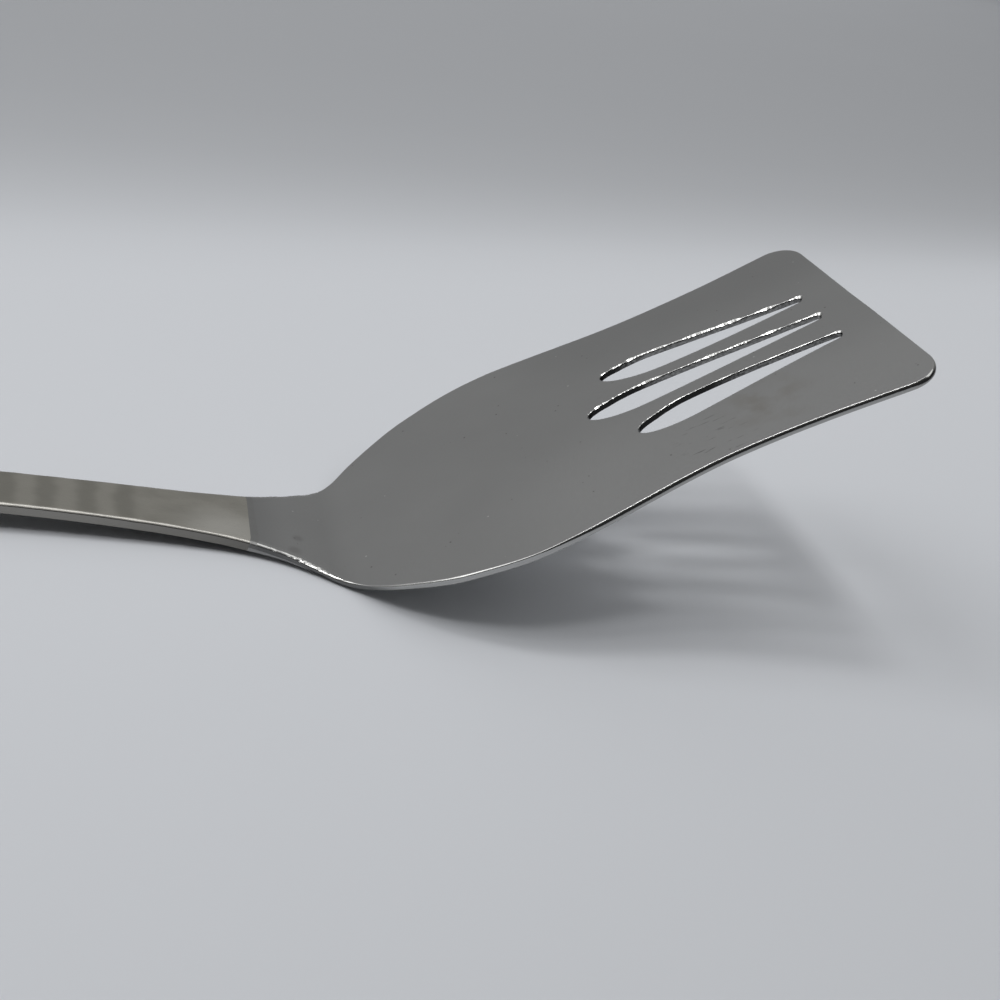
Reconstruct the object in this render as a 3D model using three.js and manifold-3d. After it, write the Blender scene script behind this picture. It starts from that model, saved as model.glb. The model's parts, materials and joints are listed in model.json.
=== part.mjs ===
// Slotted kitchen turner: a slotted sheet-steel blade, lapped over and welded to a flat, arched steel
// handle that ends in a hanging hole. Millimetres, +X towards the blade's tip, +Y to its left, +Z up.
// The turner lies on its heel and on the end of its handle, and the origin is on the table, under the
// middle of its bounding box.
//
// Every piece follows one curve, the top face along the middle of the turner. A place on a piece is
// given by s, the length along that face from the seam (negative along the handle), by y across it,
// and by the depth below it.
import * as THREE from 'three';
import { mergeVertices } from 'three/addons/utils/BufferGeometryUtils.js';
import Module from 'manifold-3d';

const wasm = await Module();
wasm.setup();
const DEGREE = Math.PI / 180;
const QUARTER_TURN = Math.PI / 2;

// Handle strip
const HANDLE_LENGTH = 200;
const HANDLE_THICKNESS = 2.7;
const HANDLE_EDGE = 0.5;
const ARCH_LENGTH = 90;
const ARCH_RADIUS = 714;
const END_WIDTH = 18;
const HANG_HOLE_DIAMETER = 8;
const HANG_HOLE_INSET = 12;

// Blade sheet and its bends
const BLADE_THICKNESS = 1.6;
const NECK_LENGTH = 18.1;
const HEEL_RADIUS = 9.1;
const HEEL_ANGLE = 42.9 * DEGREE;
const CAMBER_RADIUS = 2165;
const CORNER_RADIUS = 6.5;

// Widths along the outline, and the runs between them. The first two runs go back from the seam along
// the handle, and the others go on from it, each from the place before, as far as the blade's tip.
const GRIP_WIDTH = 13.1;
const FLARE_WIDTH = 14.7;
const SEAM_WIDTH = 19.4;
const NECK_WIDTH = 26.2;
const THROAT_WIDTH = 34;
const SHOULDER_WIDTH = 54.7;
const CHEEK_WIDTH = 69.7;
const BELLY_WIDTH = 76.4;
const WAIST_WIDTH = 68.8;
const TIP_WIDTH = 76.5;
const GRIP_RUN = 33;
const FLARE_RUN = 22;
const NECK_RUN = 9.5;
const THROAT_RUN = 7.4;
const SHOULDER_RUN = 13.4;
const CHEEK_RUN = 15.6;
const BELLY_RUN = 16.9;
const WAIST_RUN = 44.9;
const TIP_RUN = 47.3;

// Slots: leaf shaped, with an elliptical nose towards the heel and a slow taper towards the tip. The two
// side slots bow inwards, from the wider spread at their noses to the narrower one at their points.
const MIDDLE_SLOT_LENGTH = 59.9;
const SIDE_SLOT_LENGTH = 52.1;
const SLOT_TIP_MARGIN = 10;
const SLOT_WIDTH = 8.5;
const SLOT_NOSE = 12.5;
const SLOT_TAPER_POWER = 1.35;
const SLOT_END_WIDTH = 1.8;
const SIDE_SLOT_SPREAD_HEEL = 26.4;
const SIDE_SLOT_SPREAD_TIP = 20.4;

// Lap joint: the blade's tang lies in a rebate over the handle's tongue, which is ground to a thin end
const TONGUE_LENGTH = 17.5;
const TONGUE_END_THICKNESS = 0.3;
const JOINT_GAP = 0.3;
const SEAM_WELD_WIDTH = 1.2;
const EDGE_WELD_WIDTH = 1.4;

// Facets: how many flat steps each curved stretch is made of
const HANDLE_END_STEPS = 9;
const HANDLE_STEPS = 24;
const HANG_HOLE_STEPS = 32;
const TONGUE_STEPS = 14;
const EDGE_WELD_STEPS = 12;
const TANG_STEPS = 4;
const HEEL_STEPS = 10;
const SHEET_STEPS = 26;
const CORNER_STEPS = 8;
const SLOT_NOSE_STEPS = 10;
const SLOT_TAPER_STEPS = 10;
const SLOT_END_STEPS = 5;

// Places worked out from the sizes above
const BLADE_LENGTH = NECK_RUN + THROAT_RUN + SHOULDER_RUN + CHEEK_RUN + BELLY_RUN + WAIST_RUN + TIP_RUN;
const TANG_START = SEAM_WELD_WIDTH + 2 * JOINT_GAP;
const TONGUE_TOP = BLADE_THICKNESS + JOINT_GAP;
const HEEL_ARC = HEEL_ANGLE * HEEL_RADIUS;
const HEEL_END = NECK_LENGTH + HEEL_ARC;
const CUT_MARGIN = 1;

const bladeSteel = new THREE.MeshStandardMaterial({ color: 0x71716f, roughness: 0.55, metalness: 1 });
const handleSteel = new THREE.MeshStandardMaterial({ color: 0x827f79, roughness: 0.35, metalness: 1 });
const weldSteel = new THREE.MeshStandardMaterial({ color: 0x6a6764, roughness: 0.6, metalness: 1 });

// A point on the top face, a length d on from another one, where the face bends by the given curvature
function along(from, curvature, d) {
  const slope = from.slope + curvature * d;
  return {
    x: from.x + (Math.sin(slope) - Math.sin(from.slope)) / curvature,
    z: from.z - (Math.cos(slope) - Math.cos(from.slope)) / curvature,
    slope,
  };
}

const seamPoint = { x: 0, z: 0, slope: 0 };
const gripPoint = along(seamPoint, -1 / ARCH_RADIUS, -ARCH_LENGTH);
const heelStartPoint = along(seamPoint, -1 / ARCH_RADIUS, NECK_LENGTH);
const heelEndPoint = along(heelStartPoint, 1 / HEEL_RADIUS, HEEL_ARC);

// From the handle's end: a straight grip, the arch, the heel bend, and the blade's slight camber
function topFace(s) {
  if (s < -ARCH_LENGTH) {
    const d = s + ARCH_LENGTH;
    const { x, z, slope } = gripPoint;
    return { x: x + d * Math.cos(slope), z: z + d * Math.sin(slope), slope };
  }
  if (s > HEEL_END) return along(heelEndPoint, -1 / CAMBER_RADIUS, s - HEEL_END);
  if (s > NECK_LENGTH) return along(heelStartPoint, 1 / HEEL_RADIUS, s - NECK_LENGTH);
  return along(seamPoint, -1 / ARCH_RADIUS, s);
}

function place(s, y, depth) {
  const face = topFace(s);
  return new THREE.Vector3(face.x + depth * Math.sin(face.slope), y, face.z - depth * Math.cos(face.slope));
}

// A smooth curve through [s, value] points that never swings past them (monotone cubic)
function smoothThrough(points) {
  const last = points.length - 1;
  const run = [];
  const rise = [];
  for (let i = 0; i < last; i += 1) {
    run.push(points[i + 1][0] - points[i][0]);
    rise.push((points[i + 1][1] - points[i][1]) / run[i]);
  }
  const slope = [rise[0]];
  for (let i = 1; i < last; i += 1) {
    const before = 2 * run[i] + run[i - 1];
    const after = run[i] + 2 * run[i - 1];
    const turns = rise[i - 1] * rise[i] <= 0;
    slope.push(turns ? 0 : (before + after) / (before / rise[i - 1] + after / rise[i]));
  }
  slope.push(1.5 * rise[last - 1] - 0.5 * slope[last - 1]);
  return (s) => {
    let i = 0;
    while (i < last - 1 && s > points[i + 1][0]) i += 1;
    const t = (s - points[i][0]) / run[i];
    const value = points[i][1] * (1 + 2 * t) * (1 - t) ** 2 + points[i + 1][1] * t * t * (3 - 2 * t);
    return value + run[i] * t * (1 - t) * (slope[i] * (1 - t) - slope[i + 1] * t);
  };
}

// The outline: half the width at each s, before the tip's corners and the handle's end are rounded
function outlinePoints() {
  const onward = [
    [NECK_RUN, NECK_WIDTH],
    [THROAT_RUN, THROAT_WIDTH],
    [SHOULDER_RUN, SHOULDER_WIDTH],
    [CHEEK_RUN, CHEEK_WIDTH],
    [BELLY_RUN, BELLY_WIDTH],
    [WAIST_RUN, WAIST_WIDTH],
    [TIP_RUN, TIP_WIDTH],
  ];
  const points = [
    [-HANDLE_LENGTH + END_WIDTH / 2, END_WIDTH / 2],
    [-FLARE_RUN - GRIP_RUN, GRIP_WIDTH / 2],
    [-FLARE_RUN, FLARE_WIDTH / 2],
    [0, SEAM_WIDTH / 2],
  ];
  let at = 0;
  for (const [run, width] of onward) {
    at += run;
    points.push([at, width / 2]);
  }
  return points;
}

const halfWidth = smoothThrough(outlinePoints());

// Stations from one s to another, in equal steps, without the first one
function steps(from, to, count) {
  return Array.from({ length: count }, (_, i) => from + ((to - from) * (i + 1)) / count);
}

// Stations round the quarter turn that leads up to one s, and round the one that goes on from another
function turnUpTo(to, length, count) {
  return steps(0, QUARTER_TURN, count).map((angle) => to - length * Math.cos(angle));
}

function turnOnFrom(from, length, count) {
  return steps(0, QUARTER_TURN, count).map((angle) => from + length * Math.sin(angle));
}

// A closed body through sections at the given stations. A section is a list of [y, depth] corners,
// clockwise as seen from the tip.
function loft(stations, sectionAt) {
  const sections = stations.map((s) => sectionAt(s).map(([y, depth]) => place(s, y, depth)));
  const corners = sections[0].length;
  const positions = sections.flat().flatMap((point) => point.toArray());
  const index = [];
  for (let row = 0; row + 1 < sections.length; row += 1) {
    for (let corner = 0; corner < corners; corner += 1) {
      const a = row * corners + corner;
      const b = row * corners + ((corner + 1) % corners);
      index.push(a, a + corners, b + corners, a, b + corners, b);
    }
  }
  const end = (sections.length - 1) * corners;
  for (let corner = 1; corner + 1 < corners; corner += 1) {
    index.push(0, corner, corner + 1);
    index.push(end, end + corner + 1, end + corner);
  }
  const geometry = new THREE.BufferGeometry();
  geometry.setAttribute('position', new THREE.Float32BufferAttribute(positions, 3));
  geometry.setIndex(index);
  return geometry;
}

function solidFrom(geometry) {
  const bare = geometry.clone();
  bare.deleteAttribute('normal');
  bare.deleteAttribute('uv');
  const merged = mergeVertices(bare);
  return new wasm.Manifold(new wasm.Mesh({
    numProp: 3,
    vertProperties: new Float32Array(merged.attributes.position.array),
    triVerts: new Uint32Array(merged.index.array),
  }));
}

function geometryFrom(solid) {
  const mesh = solid.getMesh();
  const geometry = new THREE.BufferGeometry();
  geometry.setAttribute('position', new THREE.BufferAttribute(new Float32Array(mesh.vertProperties), 3));
  geometry.setIndex(new THREE.BufferAttribute(new Uint32Array(mesh.triVerts), 1));
  return geometry;
}

function piece(name, geometry, material) {
  geometry.computeVertexNormals();
  const mesh = new THREE.Mesh(geometry, material);
  mesh.name = name;
  return mesh;
}

function flatSection(left, right, top, bottom) {
  return [[left, top], [right, top], [right, bottom], [left, bottom]];
}

// Blade: a sheet with a tang, a heel bend, a slight camber and three slots cut through it
function bladeHalfWidth(s) {
  const intoCorner = Math.max(0, s - (BLADE_LENGTH - CORNER_RADIUS));
  return halfWidth(s) - CORNER_RADIUS + Math.sqrt(CORNER_RADIUS ** 2 - intoCorner ** 2);
}

function slotCutter(length, heelY, tipY) {
  const tip = BLADE_LENGTH - SLOT_TIP_MARGIN;
  const heel = tip - length;
  const endRadius = SLOT_END_WIDTH / 2;
  const wide = SLOT_WIDTH / 2;
  const taperEnd = tip - endRadius;
  const noseEnd = heel + SLOT_NOSE;
  const half = (s) => {
    if (s > taperEnd) return Math.sqrt(endRadius ** 2 - (s - taperEnd) ** 2);
    if (s < noseEnd) return wide * Math.sqrt(1 - ((noseEnd - s) / SLOT_NOSE) ** 2);
    return wide - (wide - endRadius) * ((s - noseEnd) / (taperEnd - noseEnd)) ** SLOT_TAPER_POWER;
  };
  const stations = [
    ...turnUpTo(noseEnd, SLOT_NOSE, SLOT_NOSE_STEPS),
    ...steps(noseEnd, taperEnd, SLOT_TAPER_STEPS),
    ...turnOnFrom(taperEnd, endRadius, SLOT_END_STEPS).slice(0, -1),
  ];
  return loft(stations, (s) => {
    const middle = tipY + (heelY - tipY) * ((tip - s) / length) ** 2;
    return flatSection(middle - half(s), middle + half(s), -CUT_MARGIN, BLADE_THICKNESS + CUT_MARGIN);
  });
}

function makeBlade() {
  const cornerStart = BLADE_LENGTH - CORNER_RADIUS;
  const stations = [
    TANG_START,
    ...steps(TANG_START, NECK_LENGTH, TANG_STEPS),
    ...steps(NECK_LENGTH, HEEL_END, HEEL_STEPS),
    ...steps(HEEL_END, cornerStart, SHEET_STEPS),
    ...turnOnFrom(cornerStart, CORNER_RADIUS, CORNER_STEPS),
  ];
  const sheet = loft(stations, (s) => {
    const half = bladeHalfWidth(s);
    return flatSection(-half, half, 0, BLADE_THICKNESS);
  });
  let blade = solidFrom(sheet);
  blade = blade.subtract(solidFrom(slotCutter(MIDDLE_SLOT_LENGTH, 0, 0)));
  for (const side of [-1, 1]) {
    const heelY = (side * SIDE_SLOT_SPREAD_HEEL) / 2;
    const tipY = (side * SIDE_SLOT_SPREAD_TIP) / 2;
    blade = blade.subtract(solidFrom(slotCutter(SIDE_SLOT_LENGTH, heelY, tipY)));
  }
  return piece('blade', geometryFrom(blade), bladeSteel);
}

// Handle: a strip with broken edges, a round end, a hanging hole and a tongue under the blade's tang
function handleHalfWidth(s) {
  const endRadius = END_WIDTH / 2;
  const fromEnd = s + HANDLE_LENGTH;
  if (fromEnd >= endRadius) return halfWidth(s);
  return Math.sqrt(endRadius ** 2 - (endRadius - fromEnd) ** 2);
}

function handleSection(s) {
  const half = handleHalfWidth(s);
  const flat = half - HANDLE_EDGE;
  const low = HANDLE_THICKNESS - HANDLE_EDGE;
  return [
    [-half, HANDLE_EDGE],
    [-flat, 0],
    [flat, 0],
    [half, HANDLE_EDGE],
    [half, low],
    [flat, HANDLE_THICKNESS],
    [-flat, HANDLE_THICKNESS],
    [-half, low],
  ];
}

function hangingHole() {
  const drill = new THREE.CylinderGeometry(
    HANG_HOLE_DIAMETER / 2,
    HANG_HOLE_DIAMETER / 2,
    HANDLE_THICKNESS + 2 * CUT_MARGIN,
    HANG_HOLE_STEPS,
  );
  const at = HANG_HOLE_INSET - HANDLE_LENGTH;
  const middle = place(at, 0, HANDLE_THICKNESS / 2);
  drill.rotateX(QUARTER_TURN);
  drill.rotateY(-topFace(at).slope);
  return drill.translate(middle.x, middle.y, middle.z);
}

// Depth of the underside along the tongue, from the full strip at the seam to the tongue's thin end
function underside(s) {
  const thinned = Math.min(Math.max(s / TONGUE_LENGTH, 0), 1);
  return HANDLE_THICKNESS + thinned * (TONGUE_TOP + TONGUE_END_THICKNESS - HANDLE_THICKNESS);
}

function makeHandle() {
  const endRadius = END_WIDTH / 2;
  const endMiddle = endRadius - HANDLE_LENGTH;
  const stations = [
    ...turnUpTo(endMiddle, endRadius, HANDLE_END_STEPS),
    ...steps(endMiddle, 0, HANDLE_STEPS),
  ];
  const strip = solidFrom(loft(stations, handleSection));
  const tongueRoot = -HANDLE_THICKNESS;
  const tongueStations = [tongueRoot, ...steps(tongueRoot, TONGUE_LENGTH, TONGUE_STEPS)];
  const tongue = loft(tongueStations, (s) => {
    const half = halfWidth(Math.max(s, 0)) - EDGE_WELD_WIDTH - JOINT_GAP;
    return flatSection(-half, half, TONGUE_TOP, underside(s));
  });
  const handle = strip.add(solidFrom(tongue)).subtract(solidFrom(hangingHole()));
  return piece('handle', geometryFrom(handle), handleSteel);
}

// Welds: a bead ground flush across the seam, and a bead under each edge of the tang beside the tongue
function makeSeamWeld() {
  const stations = [JOINT_GAP, JOINT_GAP + SEAM_WELD_WIDTH];
  const bead = loft(stations, (s) => flatSection(-halfWidth(s), halfWidth(s), 0, BLADE_THICKNESS));
  return piece('seam_weld', bead, weldSteel);
}

function makeEdgeWeld(name, side) {
  const stations = [JOINT_GAP, ...steps(JOINT_GAP, TONGUE_LENGTH, EDGE_WELD_STEPS)];
  const bead = loft(stations, (s) => {
    const outer = halfWidth(s);
    const inner = outer - EDGE_WELD_WIDTH;
    const low = underside(s);
    const round = (low - TONGUE_TOP) / 2;
    const section = [
      [inner, TONGUE_TOP],
      [outer, TONGUE_TOP],
      [outer, low - round],
      [outer - round, low],
      [inner, low],
    ];
    if (side > 0) return section;
    return section.map(([y, depth]) => [-y, depth]).reverse();
  });
  return piece(name, bead, weldSteel);
}

// The slope of the table under the turner: the lowest line from the handle's end to the tongue or heel
function tableSlope() {
  const end = place(-HANDLE_LENGTH, 0, HANDLE_THICKNESS);
  const tongue = steps(0, TONGUE_LENGTH, TONGUE_STEPS).map((s) => place(s, 0, underside(s)));
  const heel = steps(NECK_LENGTH, HEEL_END, HEEL_STEPS).map((s) => place(s, 0, BLADE_THICKNESS));
  return Math.min(...[...tongue, ...heel].map((low) => Math.atan2(low.z - end.z, low.x - end.x)));
}

const turner = new THREE.Group();
turner.add(makeBlade());
turner.add(makeHandle());
turner.add(makeSeamWeld());
turner.add(makeEdgeWeld('left_edge_weld', 1));
turner.add(makeEdgeWeld('right_edge_weld', -1));
turner.rotation.y = tableSlope();
turner.updateMatrixWorld(true);
const box = new THREE.Box3().setFromObject(turner, true);
const middle = box.getCenter(new THREE.Vector3());
turner.position.set(-middle.x, -middle.y, -box.min.z);

export default turner;
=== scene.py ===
"""Looks of a slotted kitchen turner: a matte, slotted steel blade welded to a brushed, flat steel handle.

Metres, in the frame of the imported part: +X towards the blade's tip, +Y to its left, +Z up from the table.
A place on the turner is given by s, the length along its top face from the seam (negative along the
handle), by y across it, and by the depth below that face.
"""
import json
import math
from collections import namedtuple

import bpy
import numpy as np
from mathutils import Matrix, Vector, noise
from mathutils.geometry import delaunay_2d_cdt


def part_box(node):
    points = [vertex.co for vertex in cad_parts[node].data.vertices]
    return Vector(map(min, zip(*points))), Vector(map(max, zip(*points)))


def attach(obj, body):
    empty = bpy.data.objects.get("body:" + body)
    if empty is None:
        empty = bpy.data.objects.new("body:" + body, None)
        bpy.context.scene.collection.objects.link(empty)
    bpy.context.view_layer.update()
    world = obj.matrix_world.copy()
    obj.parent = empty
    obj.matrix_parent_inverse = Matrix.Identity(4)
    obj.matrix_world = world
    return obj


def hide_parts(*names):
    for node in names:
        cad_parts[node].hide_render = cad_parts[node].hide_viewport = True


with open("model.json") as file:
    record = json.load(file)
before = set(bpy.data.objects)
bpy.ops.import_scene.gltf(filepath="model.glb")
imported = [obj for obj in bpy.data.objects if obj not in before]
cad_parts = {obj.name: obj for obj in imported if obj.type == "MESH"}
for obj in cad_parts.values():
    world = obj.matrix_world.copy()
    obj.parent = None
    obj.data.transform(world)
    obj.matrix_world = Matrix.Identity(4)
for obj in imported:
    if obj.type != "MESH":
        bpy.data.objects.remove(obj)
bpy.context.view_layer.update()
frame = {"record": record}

# Handle strip
HANDLE_LENGTH = 0.200
HANDLE_THICKNESS = 0.0027
ARCH_LENGTH = 0.090
ARCH_RADIUS = 0.714
END_WIDTH = 0.018
HANG_HOLE_DIAMETER = 0.008
HANG_HOLE_INSET = 0.012

# Blade sheet and its bends
BLADE_THICKNESS = 0.0016
NECK_LENGTH = 0.0181
HEEL_RADIUS = 0.0091
HEEL_ANGLE = math.radians(42.9)
CAMBER_RADIUS = 2.165
CORNER_RADIUS = 0.0082

# Half the width of the outline at each s, from the handle's round end to the blade's tip
OUTLINE = [
    (END_WIDTH / 2 - HANDLE_LENGTH, END_WIDTH / 2),
    (-0.0550, 0.00655),
    (-0.0220, 0.00735),
    (0.0000, 0.00970),
    (0.0095, 0.01310),
    (0.0169, 0.01700),
    (0.0303, 0.02735),
    (0.0459, 0.03485),
    (0.0628, 0.03820),
    (0.1077, 0.03440),
    (0.1550, 0.03825),
]
BLADE_LENGTH = OUTLINE[-1][0]

# Slots
MIDDLE_SLOT_LENGTH = 0.0599
SIDE_SLOT_LENGTH = 0.0521
SLOT_TIP_MARGIN = 0.010
SLOT_WIDTH = 0.0085
SLOT_NOSE = 0.0125
SLOT_TAPER_POWER = 1.35
SLOT_END_WIDTH = 0.0018
SIDE_SLOT_SPREAD_HEEL = 0.0264
SIDE_SLOT_SPREAD_TIP = 0.0204

# Lap joint and welds. The pieces meet without the clearance that the solids keep.
SEAM_WELD = (0.00015, 0.00165)
TONGUE_LENGTH = 0.0175
TONGUE_END_DEPTH = 0.0022
TONGUE_INSET = 0.0016
TONGUE_ROUNDING = 0.3
BEAD_LENGTH = 0.0135
BEAD_END_DEPTH = 0.00168
BEAD_ROUNDING = 0.8
BEAD_RIPPLE = 0.00002
BEAD_RIPPLE_LENGTH = 0.003

# How far the edge beads reach into the tongue's side and into the blade's underside, so that no gap shows
BEAD_SIDE_SINK = 0.0002
BEAD_TOP_SINK = 0.00004

# How far the seam runs askew for each length across, and how far along that is felt
SEAM_SKEW = 0.05
SKEW_REACH = 0.010

# Rims. Off the top face, each one turns over a shoulder, then a corner with a bevel across it, then a
# crown, all given by their radii and the bevel by its width. The lower radius is the underside's.
Profile = namedtuple("Profile", "shoulder corner bevel crown lower")
LEAST_BEVEL = 0.00003
HANDLE_PROFILE = Profile(0.0060, 0.0013, 0.00022, 0.0003, 0.0005)
HOLE_PROFILE = Profile(0.0006, 0.0006, LEAST_BEVEL, 0.0006, 0.0006)
BLADE_PROFILE = Profile(0.00018, 0.00024, LEAST_BEVEL, 0.0012, 0.00025)
SLOT_PROFILE = Profile(0.00015, 0.00015, LEAST_BEVEL, 0.00015, 0.00025)
NECK_BEVEL = 0.0004

# Lengths over which the handle's rim becomes the neck's ground one, and that becomes the blade's
GROUND_START = 0.002
GROUND_BLEND = 0.004
HEEL_BLEND = 0.004
NECK_FADE = 0.002

# Width in the middle over which one side's worn edge gives way to the other's
SIDE_BLEND = 0.010

# Burrs on the slots: a bevel that also grows at the tip end, over a reach there, and gets finer and
# stronger teeth towards the nose. The painted shade of the walls fades over a length.
SLOT_END_BEVEL = 0.0004
SLOT_END_REACH = 0.0016
TEETH = 1.4
TEETH_REACH = 0.008
BLACK_FADE = 0.010
Burr = namedtuple("Burr", "bevel patch seed black low_dark")
FAR_BURR = Burr(0.00065, 0.0050, 3.3, 0.004, 0.68)
MIDDLE_BURR = Burr(0.0005, 0.0040, 4.3, 0.014, 0.62)
NEAR_BURR = Burr(0.00012, 0.0030, 5.3, 0.020, 0.78)

# The lower radius from the neck to the blade, at each s
HEEL_LOW_RIMS = [(0.011, 0.00005), (0.016, 0.0008), (0.030, 0.0008), (0.042, BLADE_PROFILE.lower)]

# What the edge's corner radius gains beside the heel, at each s
HEEL_CORNERS = [(0.024, 0.0), (0.030, 0.0005), (0.046, 0.0005), (0.060, 0.0)]

# How far each side's worn edge stands outside the drawn outline, at each s
RIGHT_PROUD = [
    (-0.012, 0.0001),
    (-0.005, -0.0001),
    (0.003, 0.00005),
    (0.008, -0.00005),
    (0.014, 0.0004),
    (0.017, 0.00065),
    (0.024, 0.00035),
    (0.040, 0.0004),
    (0.060, 0.0003),
    (0.075, 0.0006),
    (0.144, 0.0007),
    (0.149, 0.0006),
    (0.155, 0.00043),
]
LEFT_PROUD = [
    (-0.010, 0.00075),
    (0.000, 0.0009),
    (0.004, 0.0011),
    (0.010, 0.0006),
    (0.016, 0.0004),
    (0.020, 0.00005),
    (0.024, -0.0001),
    (0.050, -0.0001),
    (0.060, -0.0003),
    (0.070, 0.0004),
    (0.085, 0.0003),
    (0.105, 0.0001),
    (0.130, -0.0004),
    (0.147, -0.00025),
    (0.155, 0.00025),
]

# How far each slot's left edge stands into the slot, at each share of its length
SLOT_PROUD = [
    (0.00, 0.0),
    (0.04, 0.0003),
    (0.10, 0.00065),
    (0.25, 0.0003),
    (0.55, 0.0001),
    (0.70, 0.0),
    (0.85, -0.0003),
    (1.00, -0.0006),
]

# What is left of the edge's crown beside the heel, at each s
HEEL_CROWNS = [(0.018, 1.0), (0.024, 0.3), (0.060, 0.3), (0.075, 1.0)]

# Length of a soft wave of painted reflection along the handle, and how far along one of them starts
REFLECTION_BAND_STEP = 0.0082
REFLECTION_BAND_START = 0.002

# Share of painted shade on the walls of the slots, of the handle and of the seam, and under the handle
SLOT_DARK = 0.97
FADED_SLOT_SHADE = 0.80
HANDLE_DARK = 0.48
SEAM_DARK = 0.50
UNDER_DARK = 0.85

# The same for the sides of the handle and of the blade's neck, at each s
SIDE_DARKS = [
    (-0.035, HANDLE_DARK),
    (-0.008, 0.60),
    (0.0005, 0.68),
    (0.0016, 0.72),
    (0.005, 0.74),
    (0.009, 0.68),
    (0.025, 0.60),
    (0.031, 0.0),
]

# Colours of the steels and of the marks on them
DULL_SHEET = (0.355, 0.355, 0.352)
BRIGHT_SHEET = (0.405, 0.405, 0.40)
# A painted sheen for the blade's right side and painted shade for its left side
PAINTED_SHEEN_SIDE = (0.53, 0.53, 0.525)
PAINTED_SHADE_SIDE = (0.25, 0.25, 0.25)
STAIN = (0.30, 0.275, 0.24)
SCRATCH = (0.16, 0.155, 0.15)
SPECK = (0.16, 0.15, 0.14)
GLINT = (0.8, 0.8, 0.78)
# colour that makes the sheet darker towards the seam
DARKER_NEAR_SEAM_SHEET = (0.27, 0.27, 0.27)
SMUDGE = (0.22, 0.215, 0.21)
SHEET_RIM = (0.45, 0.45, 0.44)
# painted shade for the walls of the sheet
PAINTED_SHADE_BLACK = (0.012, 0.012, 0.012)
DULL_STRIP = (0.34, 0.327, 0.286)
BRIGHT_STRIP = (0.53, 0.51, 0.452)
BRUSHED_STRIP = (0.33, 0.32, 0.29)
# painted highlight for the handle by the seam
PAINTED_HIGHLIGHT_STRIP = (0.80, 0.78, 0.72)
STRIP_RIM = (0.50, 0.485, 0.45)
# painted shade for the walls and underside of the handle and for the welds' walls
PAINTED_SHADE_BROWN = (0.02, 0.018, 0.015)
DULL_WELD = (0.28, 0.28, 0.275)
BRIGHT_WELD = (0.34, 0.34, 0.335)

# Where the marks are: s, y and reach
STAIN_SPOT = (0.120, -0.022, 0.014)
SCRATCH_SPOT = (0.105, -0.027, 0.013)
SMUDGE_SPOTS = [(0.0111, -0.0050, 0.0018), (0.0097, -0.0103, 0.0022)]
# where the painted highlight on the handle lies
PAINTED_HIGHLIGHT_SPOT = (-0.005, -0.008, 0.014)

# Mesh steps
RIM_STEP = 0.0004
SLOT_STEP = 0.00025
GRID_STEP = 0.00125
BEVEL_TURN = math.radians(29.0)
TURNS = np.radians([0, 9, 19, 29, 29, 35.5, 42, 54, 66, 78, 90])
CORNER_STEPS = 5
CROWN_STEPS = 4
WALL_STEPS = 3
LOWER_ARC_STEPS = 4
CORNER_POINTS = 60
NOSE_POINTS = 80
TAPER_POINTS = 160
HOLE_POINTS = 96
TONGUE_ROWS = 24
SEAM_ROWS = 5
BEAD_ROWS = 70
BEAD_ARC_POINTS = 6

# Camera
CAMERA_PLACE = Vector((-0.01635, -0.24768, 0.15353))
CAMERA_YAW = math.radians(23.56)
CAMERA_PITCH = math.radians(27.18)
CAMERA_ROLL = math.radians(16.62)
CAMERA_FOCAL_LENGTH = 46.21
CAMERA_SENSOR = 36.0

# Lamps, over a place on the table, and the world: its way to the back, the span of that over which it
# brightens, its strengths there and its tint
LAMP_AIM = Vector((0.11, 0.0, 0.0))
LAMP_HEIGHT = 4.0
WORLD_BACK = (-0.5, 0.75, 0.4)
WORLD_SPAN = (-0.35, 0.25)
WORLD_STRENGTHS = (0.03, 0.35)
WORLD_TINT = (0.99, 1.0, 1.01, 1.0)

# Floor: its colour, the way to the back, and its tone at distances that way, painted to stand in for the
# light's fall-off
FLOOR_REACH = 8.0
FLOOR_COLOUR = (0.727, 0.746, 0.780)
FLOOR_BACK = (-0.326, 0.945, 0.0)
FLOOR_PAINTED_FALLOFF = [
    (-0.25, 0.78),
    (-0.05, 0.99),
    (0.13, 1.02),
    (0.17, 0.955),
    (0.20, 0.84),
    (0.24, 0.73),
    (0.28, 0.67),
    (0.35, 0.625),
    (0.50, 0.60),
    (0.90, 0.64),
    (1.50, 0.77),
    (2.20, 0.95),
    (3.00, 1.12),
]

HEEL_ARC = HEEL_ANGLE * HEEL_RADIUS
HEEL_END = NECK_LENGTH + HEEL_ARC


# The curve of the top face

def along(start, curvature, length):
    """The point (x, z, slope) a length on from another one, where the face bends by the given curvature."""
    x, z, slope = start
    turned = slope + curvature * length
    run = (np.sin(turned) - np.sin(slope)) / curvature
    rise = (np.cos(slope) - np.cos(turned)) / curvature
    return x + run, z + rise, turned


SEAM_POINT = (0.0, 0.0, 0.0)
GRIP_POINT = along(SEAM_POINT, -1 / ARCH_RADIUS, -ARCH_LENGTH)
HEEL_START_POINT = along(SEAM_POINT, -1 / ARCH_RADIUS, NECK_LENGTH)
HEEL_END_POINT = along(HEEL_START_POINT, 1 / HEEL_RADIUS, HEEL_ARC)


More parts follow.
